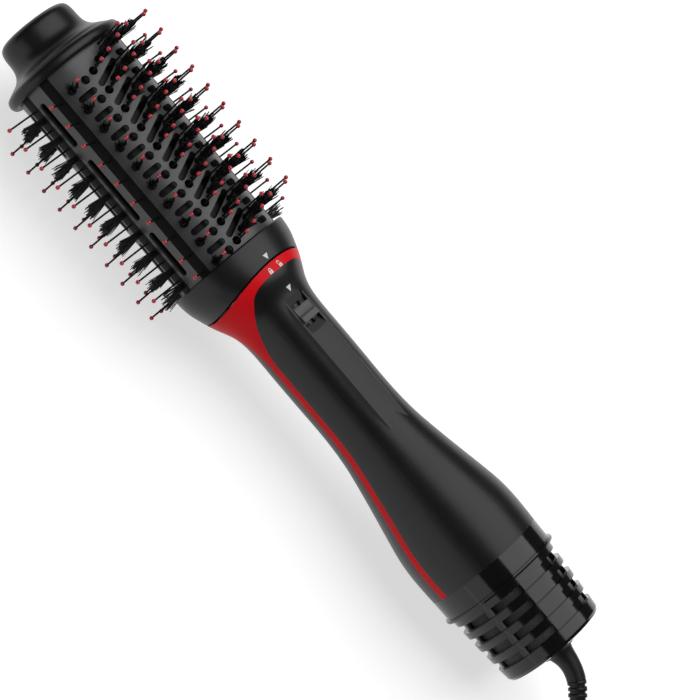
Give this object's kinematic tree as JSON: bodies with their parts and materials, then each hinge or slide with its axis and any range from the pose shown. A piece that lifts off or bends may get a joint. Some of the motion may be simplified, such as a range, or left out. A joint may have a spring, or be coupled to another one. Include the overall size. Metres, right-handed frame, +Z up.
{
  "type": "hot air brush",
  "caption": "Hot air styling brush with an oval bristled head on a twist lock, a waisted handle with a slide switch, a slotted air inlet and a swivelling power cord.",
  "frame": {"origin": "on the floor plane, under the middle of the brush without its cord, which lies on its back", "axes": "+X along the brush towards the cool tip, +Z up through the front face with the switch, +Y towards the brush's left side; the cord lies behind the air inlet, towards -X"},
  "size_m": [0.6396, 0.123, 0.0844],
  "materials": {
    "barrel_grey": "satin",
    "satin_black": "satin",
    "gloss_black": "gloss",
    "soft_black": "matte",
    "pin_black": "satin",
    "bristle_black": "satin",
    "ball_red": "gloss",
    "trim_red": "satin",
    "switch_grey": "satin",
    "dark_nylon": "matte",
    "mesh_steel": "woven",
    "screw_steel": "plain",
    "mica": "matte",
    "heater_alloy": "plain",
    "board_green": "satin",
    "motor_steel": "plain",
    "ferrite": "matte",
    "rotor_copper": "plain",
    "blade_brass": "plated",
    "cord_black": "matte",
    "plug_black": "satin",
    "button_grey": "satin",
    "button_red": "satin"
  },
  "bodies": {
    "handle": {"red_trim": "trim_red", "front_shell": "satin_black", "rear_shell": "satin_black", "shell_screws": "screw_steel", "switch_body": "dark_nylon", "control_board": "board_green", "board_screws": "screw_steel", "heater_sleeve": "mica", "heater_frame": "mica", "heater_wire": "heater_alloy", "thermal_fuse": "motor_steel", "fan_duct": "dark_nylon", "motor_can": "motor_steel", "motor_magnets": "ferrite", "vent_cap": "gloss_black", "filter_mesh": "mesh_steel", "spigot": "dark_nylon", "retaining_clip": "screw_steel"},
    "lock": {"lock_ring": "dark_nylon"},
    "head": {"head_socket": "dark_nylon", "collar": "satin_black", "frame_screws": "screw_steel", "barrel_shell": "barrel_grey", "front_pin_frame": "pin_black", "back_pin_frame": "pin_black", "front_tufts": "bristle_black", "back_tufts": "bristle_black", "front_pin_tips": "ball_red", "back_pin_tips": "ball_red", "corner_rail_front_left": "soft_black", "corner_rail_front_right": "soft_black", "corner_rail_back_left": "soft_black", "corner_rail_back_right": "soft_black", "side_rail_left": "soft_black", "side_rail_right": "soft_black", "side_tufts": "bristle_black", "left_pin_tips": "ball_red", "right_pin_tips": "ball_red", "tip_baffle": "dark_nylon", "tip_screw": "screw_steel", "cool_tip_cap": "satin_black"},
    "switch": {"switch_slider": "switch_grey"},
    "fan": {"motor_shaft": "screw_steel", "motor_rotor": "rotor_copper", "fan_impeller": "dark_nylon"},
    "swivel": {"cord_swivel": "satin_black", "strain_relief": "cord_black", "cord_lead": "cord_black", "cord_coil": "cord_black", "cord_tail": "cord_black", "plug_housing": "plug_black", "plug_blades": "blade_brass", "plug_strain_relief": "cord_black"},
    "test_button": {"test_button": "button_grey"},
    "reset_button": {"reset_button": "button_red"}
  },
  "joints": [
    {"name": "head_twist", "type": "hinge", "parent": "handle", "child": "lock", "pos_m": [0, 0, 0.04221], "axis": [1, 0, 0], "range_deg": [-6.5, 6.5]},
    {"name": "head_pull", "type": "slide", "parent": "lock", "child": "head", "axis": [1, 0, 0], "range_m": [0, 0.045]},
    {"name": "switch_slide", "type": "slide", "parent": "handle", "child": "switch", "axis": [1, 0, 0], "range_m": [-0.004, 0.004]},
    {"name": "fan_spin", "type": "hinge", "parent": "handle", "child": "fan", "pos_m": [0, 0, 0.04221], "axis": [1, 0, 0], "continuous": true},
    {"name": "cord_turn", "type": "hinge", "parent": "handle", "child": "swivel", "pos_m": [0, 0, 0.04221], "axis": [1, 0, 0], "continuous": true},
    {"name": "test_press", "type": "slide", "parent": "swivel", "child": "test_button", "axis": [0, 0, -1], "range_m": [0, 0.0012], "stiffness_N_per_m": 150, "springref_m": -0.001},
    {"name": "reset_press", "type": "slide", "parent": "swivel", "child": "reset_button", "axis": [0, 0, -1], "range_m": [0, 0.0012], "stiffness_N_per_m": 150, "springref_m": -0.001}
  ]
}
